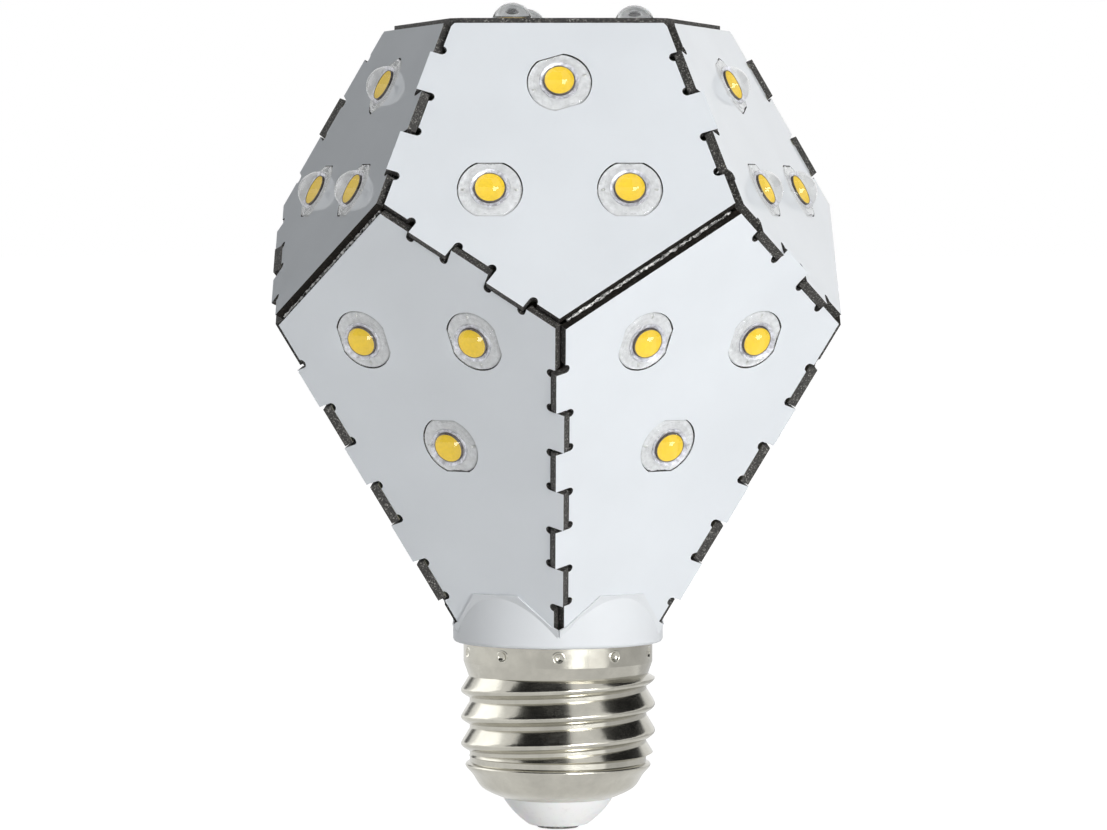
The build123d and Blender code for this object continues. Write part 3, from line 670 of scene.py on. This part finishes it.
class FinishBoards(bpy.types.Operator):
    """Give the boards their mask, their dark cut edges and their bare inner side"""

    bl_idname = "lantern_lamp.finish_boards"
    bl_label = "Finish the boards"

    def execute(self, context):
        finishes = (mask_material(), cut_edge_material(), laminate_material(), fold_edge_material())
        self.finish_board("top_board", top_face(), None, finishes)
        for number in range(FACES_ROUND):
            upper, lower = upper_faces()[number], lower_faces()[number]
            self.finish_board(f"upper_board_{number + 1}", upper, FOLD_ANGLE_UPPER, finishes)
            self.finish_board(f"lower_board_{number + 1}", lower, FOLD_ANGLE_LOWER, finishes)
        return {"FINISHED"}

    def finish_board(self, name, face, fold_angle, finishes):
        """Chooses each face's finish by where the face points on its board."""
        dress(name, *finishes)
        to_board = face.to_3x3().transposed()
        for polygon in nodes[name].data.polygons:
            facing = to_board @ polygon.normal
            if facing.z > 0.99:
                polygon.material_index = 0
            elif facing.z < -0.99:
                polygon.material_index = 2
            # Faces along a fold take the fold finish, whose nearly black is painted shade in the groove.
            elif fold_angle is not None and abs(degrees(atan2(facing.y, facing.x)) - fold_angle) < 2:
                polygon.material_index = 3
            else:
                polygon.material_index = 1


class FinishEmitters(bpy.types.Operator):
    """Finish the emitters and add their reflector dishes, dark rims and lead ends"""

    bl_idname = "lantern_lamp.finish_emitters"
    bl_label = "Finish the emitters"

    def execute(self, context):
        sizes = context.scene.lamp_sizes
        tin = solder_material("tinned leads")
        dress_all("emitter_bodies", case_material())
        dress_all("emitter_contacts", tin)
        dress_all("phosphors", phosphor_material())
        dish = self.make_dish(sizes)
        rim = self.make_rim(sizes)
        tips = self.make_tips(sizes)
        parts = (
            (dish, "reflector_dishes", reflector_material(), "emitter_case"),
            # Painted shade: the rims' nearly black stands for the shade on the edge of the phosphor's cavity.
            (rim, "phosphor_rims", mottled_material("phosphor rim", (0.06, 0.05, 0.045), 0.5), "emitter_case"),
            (tips, "emitter_lead_ends", tin, "solder_metal"),
        )
        for group, places in emitter_groups().items():
            for template, name, material, slot in parts:
                piece = copy_to_places(template, places, f"{name}_{group}", material)
        for template in (dish, rim, tips):
            bpy.data.objects.remove(template)
        return {"FINISHED"}

    def make_dish(self, sizes):
        """A shallow dish that stands on the case and slopes in to the phosphor."""
        floor = -sizes.case_depth
        outside = 1.42 * sizes.phosphor_radius
        inside = 1.05 * sizes.phosphor_radius
        dish = grow_rings(
            outside, floor - 0.01 * MM,
            [
                (outside, floor + 0.13 * MM),
                (outside - 0.08 * MM, floor + 0.15 * MM),
                (inside, floor + 0.03 * MM),
            ],
        )
        close_and_smooth(dish)
        return dish

    def make_rim(self, sizes):
        """A thin wall round the phosphor, so that it shows yellow only from above; its nearly black is painted
        shade on the cavity's edge.
        """
        outside = sizes.phosphor_radius + 0.05 * MM
        top = sizes.flange_height + 0.02 * MM
        rim = grow_tube(
            outside, -sizes.case_depth - 0.01 * MM,
            [(outside, top - 0.03 * MM), (outside - 0.03 * MM, top), (sizes.phosphor_radius - 0.03 * MM, top)],
        )
        close_and_smooth(rim)
        return rim

    def make_tips(self, sizes):
        """The two small lead ends moulded into the case."""
        ends = []
        floor = -sizes.case_depth
        for side in (-1, 1):
            clear_selection()
            bpy.ops.mesh.primitive_cube_add(size=1, location=(side * 3.45 * MM, 0, floor + 0.04 * MM))
            tip = bpy.context.object
            tip.scale = (sizes.lead_tip, 0.6 * sizes.lead_tip, 0.12 * MM)
            bpy.ops.object.transform_apply(location=True, rotation=True, scale=True)
            bpy.ops.object.mode_set(mode="EDIT")
            select_faces(tip, lambda centre, normal: normal.z > 0.9)
            bpy.ops.mesh.inset(thickness=0.08 * MM)
            bpy.ops.transform.translate(value=(0, 0, 0.05 * MM))
            bpy.ops.object.mode_set(mode="OBJECT")
            ends.append(tip)
        clear_selection()
        for tip in ends:
            tip.select_set(True)
        bpy.context.view_layer.objects.active = ends[0]
        bpy.ops.object.join()
        bpy.ops.object.transform_apply(location=True, rotation=True, scale=True)
        return bpy.context.object


class BuildLenses(bpy.types.Operator):
    """Build the clear lenses, cast onto their cases with no air between"""

    bl_idname = "lantern_lamp.build_lenses"
    bl_label = "Build the lenses"

    def execute(self, context):
        silicone = dome_material()
        lens = self.make_lens(context.scene.lamp_sizes)
        groups = emitter_groups()
        self.place_lenses(lens, groups["top"], "top", silicone)
        for number in range(FACES_ROUND):
            for kind in ("upper", "lower"):
                places = groups[kind][3 * number : 3 * number + 3]
                self.place_lenses(lens, places, f"{kind}_{number + 1}", silicone)
        bpy.data.objects.remove(lens)
        return {"FINISHED"}

    def place_lenses(self, lens, places, board, silicone):
        """One board's three lenses, which stand for its plain ones."""
        piece = copy_to_places(lens, places, f"clear_lenses_{board}", silicone)
        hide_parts(f"lenses_{board}")

    def make_lens(self, sizes):
        """A flange with faint moulded rings and a nearly round dome, in one body."""
        foot = sizes.flange_height
        rise = sizes.dome_height - foot
        curve = (sizes.dome_radius**2 + rise**2) / (2 * rise)
        widest = asin(sizes.dome_radius / curve)
        flange = sizes.flange_radius
        rings = [
            (flange, foot - 0.04 * MM),
            (flange - 0.05 * MM, foot),
            (flange - 0.40 * MM, foot),
            (flange - 0.46 * MM, foot - 0.04 * MM),
            (flange - 0.60 * MM, foot - 0.04 * MM),
            (flange - 0.66 * MM, foot + 0.03 * MM),
            (flange - 0.82 * MM, foot + 0.03 * MM),
            (flange - 0.88 * MM, foot),
            (sizes.dome_radius + 0.18 * MM, foot),
            (sizes.dome_radius + 0.04 * MM, foot + 0.05 * MM),
        ]
        steps = 14
        for step in range(1, steps):
            lean = widest * (1 - step / steps)
            rings.append((curve * sin(lean), sizes.dome_height - curve * (1 - cos(lean))))
        lens = grow_rings(flange, -sizes.case_depth - 0.02 * MM, rings)
        bpy.ops.mesh.extrude_region_move(TRANSFORM_OT_translate={"value": (0, 0, 0.02 * MM)})
        bpy.ops.mesh.merge(type="CENTER")
        for side in (1, -1):
            bpy.ops.mesh.select_all(action="SELECT")
            bpy.ops.mesh.bisect(
                plane_co=(0, side * sizes.flange_flats / 2, 0), plane_no=(0, side, 0),
                use_fill=True, clear_outer=True,
            )
        close_and_smooth(lens)
        return lens


class BuildFolds(bpy.types.Operator):
    """Finish the strips under the folds and lay a broken solder bead along each"""

    bl_idname = "lantern_lamp.build_folds"
    bl_label = "Build the folds"

    def execute(self, context):
        sizes = context.scene.lamp_sizes
        dress_all("fold_strip", fold_core_material())
        tin = bead_material()
        for number in range(FACES_ROUND):
            bead = self.make_bead(sizes, number)
            place = fold_frame(number) @ Matrix.Translation((0, -sizes.bead_depth, 0))
            piece = copy_to_places(bead, [place], f"fold_solder_{number + 1}", tin)
            bpy.data.objects.remove(bead)
        return {"FINISHED"}

    def make_bead(self, sizes, seed):
        """A thin lumpy rod, a little shorter than the fold."""
        length_along = 0.9 * sizes.board_edge
        clear_selection()
        bpy.ops.mesh.primitive_cylinder_add(
            vertices=10, radius=sizes.bead_radius, depth=length_along, location=(0, 0, 0),
        )
        bead = bpy.context.object
        bpy.ops.object.mode_set(mode="EDIT")
        bpy.ops.mesh.select_mode(type="EDGE")
        bpy.ops.mesh.select_all(action="DESELECT")
        mesh = bmesh.from_edit_mesh(bead.data)
        for edge in mesh.edges:
            edge.select = abs(edge.verts[0].co.z - edge.verts[1].co.z) > length_along / 2
        mesh.select_flush_mode()
        bmesh.update_edit_mesh(bead.data)
        bpy.ops.mesh.subdivide(number_cuts=70)
        bpy.ops.mesh.select_all(action="SELECT")
        bpy.ops.transform.vertex_random(offset=0.11 * MM, uniform=0.3, normal=0.6, seed=seed)
        close_and_smooth(bead, radians(80))
        return bead


class FinishCollar(bpy.types.Operator):
    """Finish the white collar"""

    bl_idname = "lantern_lamp.finish_collar"
    bl_label = "Finish the collar"

    def execute(self, context):
        dress("collar", collar_material())
        return {"FINISHED"}


class FinishCap(bpy.types.Operator):
    """Finish the screw shell, the insulator and the centre contact"""

    bl_idname = "lantern_lamp.finish_cap"
    bl_label = "Finish the cap"

    def execute(self, context):
        sizes = context.scene.lamp_sizes
        plate = shell_material()
        dress("screw_shell", plate)
        dress("insulator", insulator_material())
        dress("centre_contact", contact_material())
        crimp = self.make_crimp(sizes)
        piece = copy_to_places(crimp, self.crimp_places(sizes), "crimp_marks", plate)
        bpy.data.objects.remove(crimp)
        return {"FINISHED"}

    def crimp_places(self, sizes):
        """Frames on the skirt, with z pointing out of each dimple."""
        places = []
        for number in range(CRIMP_COUNT):
            turn = Matrix.Rotation(2 * pi * number / CRIMP_COUNT, 4, "Z")
            out = Matrix.Translation((0, -sizes.skirt_radius, sizes.crimp_height))
            places.append(turn @ out @ Matrix.Rotation(pi / 2, 4, "X"))
        return places

    def make_crimp(self, sizes):
        """The punched bowl of a dimple, with the sheet pushed up round it and a fine point in it."""
        bowl = sizes.crimp_radius
        curve = (bowl**2 + sizes.crimp_depth**2) / (2 * sizes.crimp_depth)
        rings = [
            (1.5 * bowl, -0.06 * MM),
            (1.32 * bowl, 0.01 * MM),
            (1.18 * bowl, 0.05 * MM),
            (1.06 * bowl, 0.05 * MM),
        ]
        for share in (0.97, 0.86, 0.72, 0.58, 0.44, 0.3):
            radius = share * bowl
            depth = sqrt(curve**2 - radius**2) - (curve - sizes.crimp_depth)
            rings.append((radius, 0.012 * MM - depth))
        radius, height = rings[-1]
        rings.append((0.22 * bowl, height + 0.01 * MM))
        rings.append((0.14 * bowl, height - 0.12 * MM))
        crimp = grow_rings(1.5 * bowl, -1.3 * sizes.crimp_depth, rings)
        close_and_smooth(crimp, radians(50))
        return crimp


class FinishDriver(bpy.types.Operator):
    """Finish the driver board, the pieces on it and the leads"""

    bl_idname = "lantern_lamp.finish_driver"
    bl_label = "Finish the driver"

    def execute(self, context):
        dress("driver_board", mottled_material("green mask", (0.02, 0.16, 0.07), 0.4, 300, 0.1))
        black = mottled_material("black moulding", (0.02, 0.02, 0.02), 0.55)
        dress("driver_chip", black)
        dress("rectifier", black)
        dress("filter_capacitor", mottled_material("capacitor sleeve", (0.02, 0.025, 0.05), 0.25, 200, 0.05))
        dress("inductor", mottled_material("inductor sleeve", (0.03, 0.028, 0.026), 0.5))
        dress("fuse_resistor", mottled_material("resistor lacquer", (0.16, 0.30, 0.18), 0.35))
        dress("live_lead", mottled_material("black wire", (0.02, 0.02, 0.02), 0.4, 800, 0.1))
        dress("negative_lead", bpy.data.materials["black wire"])
        dress("neutral_lead", mottled_material("white wire", (0.75, 0.75, 0.72), 0.4, 800, 0.1))
        dress("positive_lead", mottled_material("red wire", (0.45, 0.02, 0.015), 0.4, 800, 0.1))
        return {"FINISHED"}


class BuildStage(bpy.types.Operator):
    """Build the plain floor, the dark cards that the metal mirrors, the lights and the camera"""

    bl_idname = "lantern_lamp.build_stage"
    bl_label = "Build the stage"

    def execute(self, context):
        self.add_floor(context.scene.lamp_sizes.floor_size)
        self.add_card("front_ceiling_card", -68, 16, 20, 62, 0.02)
        self.add_card("right_ceiling_card", 68, 140, 20, 62, 0.02)
        self.add_card("bright_card", 34, 60, 0, 12, 1.6)
        self.add_card("left_card", -118, 0, 0, 12, 1.1)
        self.add_card("right_card", 62, 132, 0, 12, 0.6)
        self.add_card("left_back_card", -157, -145, 7, 22, 0.06)
        self.add_zenith_card(radius=0.5, height=1.2, strength=0.03)
        self.add_floor_card("near_floor_card", -181, 181, 0.004, 0.055, 0.88)
        for number, (first, last, strength) in enumerate(FLOOR_CARDS):
            self.add_floor_card(f"floor_card_{number + 1}", first, last, 0.06, 1.0, strength)
        self.add_world()
        self.add_lamp("key_lamp", azimuth=29, elevation=3, distance=1.2, size=0.65, watts=15.0)
        self.add_lamp("left_fill", azimuth=-112, elevation=20, distance=1.2, size=0.8, watts=2.2)
        self.add_camera(context.scene.lamp_sizes.camera_distance, context.scene.lamp_sizes.camera_height)
        context.scene.view_settings.view_transform = "Standard"
        return {"FINISHED"}

    def add_floor(self, size):
        """A plain floor just under the centre contact."""
        clear_selection()
        bpy.ops.mesh.primitive_plane_add(size=size, location=(0, 0, -0.2 * MM))
        floor = bpy.context.object
        floor.name = "floor"
        floor.data.materials.append(white_stage_material("pale floor"))

    def add_card(self, name, first, last, low, high, strength):
        """A card on an arc round the lamp, between two elevations, seen only in what is mirrored."""
        radius = 1.0
        clear_selection()
        foot = radius * tan(radians(low))
        bpy.ops.mesh.primitive_cylinder_add(
            vertices=120, radius=radius, depth=radius * tan(radians(high)) - foot,
            end_fill_type="NOTHING", location=(0, 0, (radius * tan(radians(high)) + foot) / 2),
        )
        card = bpy.context.object
        card.name = name
        bpy.ops.object.transform_apply(location=True, rotation=True, scale=True)
        bpy.ops.object.mode_set(mode="EDIT")
        select_faces(
            card,
            lambda centre, normal: not first < degrees(atan2(centre.x, -centre.y)) < last,
        )
        bpy.ops.mesh.delete(type="FACE")
        bpy.ops.object.mode_set(mode="OBJECT")
        self.finish_card(card, strength)
        return card

    def add_floor_card(self, name, first, last, near, far, strength):
        """A card on the floor over part of a ring, seen only in what is mirrored."""
        clear_selection()
        bpy.ops.mesh.primitive_circle_add(
            vertices=120, radius=far, fill_type="NGON", location=(0, 0, 0),
        )
        card = bpy.context.object
        card.name = name
        bpy.ops.object.mode_set(mode="EDIT")
        bpy.ops.mesh.select_all(action="SELECT")
        bpy.ops.mesh.inset(thickness=far - near)
        bpy.ops.mesh.delete(type="FACE")
        select_faces(
            card,
            lambda centre, normal: not first < degrees(atan2(centre.x, -centre.y)) < last,
        )
        bpy.ops.mesh.delete(type="FACE")
        bpy.ops.object.mode_set(mode="OBJECT")
        self.finish_card(card, strength)

    def add_zenith_card(self, radius, height, strength):
        """A dark disc far over the lamp, seen in what is mirrored and through the domes."""
        clear_selection()
        bpy.ops.mesh.primitive_circle_add(
            vertices=60, radius=radius, fill_type="NGON", location=(0, 0, height),
        )
        card = bpy.context.object
        card.name = "zenith_card"
        self.finish_card(card, strength)
        card.visible_transmission = True

    def finish_card(self, card, strength):
        """Hides a card from all but mirrored rays and gives it its brightness."""
        card.visible_camera = False
        card.visible_diffuse = False
        card.visible_transmission = False
        card.visible_shadow = False
        material, tree, shader = new_material(card.name)
        shader.inputs["Base Color"].default_value = (0, 0, 0, 1)
        shader.inputs["Roughness"].default_value = 1
        shader.inputs["Specular IOR Level"].default_value = 0
        shader.inputs["Emission Color"].default_value = (1, 1, 1, 1)
        shader.inputs["Emission Strength"].default_value = strength
        card.data.materials.append(material)

    def add_world(self):
        """White where it is seen or mirrored, and an even pale light otherwise."""
        world = bpy.data.worlds.new("studio")
        bpy.context.scene.world = world
        world.use_nodes = True
        tree = world.node_tree
        tree.nodes.clear()
        rays = tree.nodes.new("ShaderNodeLightPath")
        seen = tree.nodes.new("ShaderNodeMath")
        seen.operation = "MAXIMUM"
        through = tree.nodes.new("ShaderNodeMath")
        through.operation = "MAXIMUM"
        light = tree.nodes.new("ShaderNodeBackground")
        light.inputs["Color"].default_value = (0.96, 0.98, 1.0, 1)
        light.inputs["Strength"].default_value = 0.31
        white = tree.nodes.new("ShaderNodeBackground")
        white.inputs["Color"].default_value = (1, 1, 1, 1)
        white.inputs["Strength"].default_value = 1
        mix = tree.nodes.new("ShaderNodeMixShader")
        output = tree.nodes.new("ShaderNodeOutputWorld")
        tree.links.new(rays.outputs["Is Camera Ray"], seen.inputs[0])
        tree.links.new(rays.outputs["Is Glossy Ray"], seen.inputs[1])
        tree.links.new(seen.outputs[0], through.inputs[0])
        tree.links.new(rays.outputs["Is Transmission Ray"], through.inputs[1])
        tree.links.new(through.outputs[0], mix.inputs[0])
        tree.links.new(light.outputs[0], mix.inputs[1])
        tree.links.new(white.outputs[0], mix.inputs[2])
        tree.links.new(mix.outputs[0], output.inputs["Surface"])

    def add_lamp(self, name, azimuth, elevation, distance, size, watts):
        """A soft square lamp that faces the middle of the lantern."""
        data = bpy.data.lights.new(name, "AREA")
        data.shape = "SQUARE"
        data.size = size
        data.energy = watts
        lamp = bpy.data.objects.new(name, data)
        bpy.context.scene.collection.objects.link(lamp)
        turn = radians(azimuth)
        rise = radians(elevation)
        away = Vector((sin(turn) * cos(rise), -cos(turn) * cos(rise), sin(rise)))
        lamp.location = away * distance + Vector((0, 0, 70 * MM))
        lamp.rotation_euler = away.to_track_quat("Z", "Y").to_euler()
        lamp.visible_camera = False

    def add_camera(self, distance, height):
        """The camera at the place and angle that the lamp's own edges fix."""
        data = bpy.data.cameras.new("camera")
        data.sensor_fit = "HORIZONTAL"
        data.sensor_width = 36
        data.lens = 154.96
        data.clip_start = 0.01
        data.clip_end = 100
        camera = bpy.data.objects.new("camera", data)
        bpy.context.scene.collection.objects.link(camera)
        camera.location = (-5.9 * MM, -distance, height)
        camera.rotation_euler = Euler((radians(90 - 2.262), radians(0.023), radians(-0.474)), "XYZ")
        bpy.context.scene.camera = camera


class LampPanel(bpy.types.Panel):
    """The sizes, colours and steps of the lantern lamp"""

    bl_idname = "VIEW3D_PT_lantern_lamp"
    bl_label = "Lantern lamp"
    bl_space_type = "VIEW_3D"
    bl_region_type = "UI"
    bl_category = "Lantern lamp"

    def draw(self, context):
        for group in (context.scene.lamp_sizes, context.scene.lamp_colours):
            for name in group.__annotations__:
                self.layout.prop(group, name)
        for operator in OPERATORS:
            self.layout.operator(operator.bl_idname)


OPERATORS = (
    FinishBoards,
    FinishEmitters,
    BuildLenses,
    BuildFolds,
    FinishCollar,
    FinishCap,
    FinishDriver,
    BuildStage,
)


def register():
    for kind in (LampSizes, LampColours, *OPERATORS, LampPanel):
        bpy.utils.register_class(kind)
    bpy.types.Scene.lamp_sizes = PointerProperty(type=LampSizes)
    bpy.types.Scene.lamp_colours = PointerProperty(type=LampColours)


def unregister():
    del bpy.types.Scene.lamp_sizes
    del bpy.types.Scene.lamp_colours
    for kind in (LampPanel, *reversed(OPERATORS), LampColours, LampSizes):
        bpy.utils.unregister_class(kind)


def main():
    """Builds everything in order."""
    register()
    bpy.ops.lantern_lamp.finish_boards()
    bpy.ops.lantern_lamp.finish_emitters()
    bpy.ops.lantern_lamp.build_lenses()
    bpy.ops.lantern_lamp.build_folds()
    bpy.ops.lantern_lamp.finish_collar()
    bpy.ops.lantern_lamp.finish_cap()
    bpy.ops.lantern_lamp.finish_driver()
    bpy.ops.lantern_lamp.build_stage()


if __name__ == "__main__":
    main()
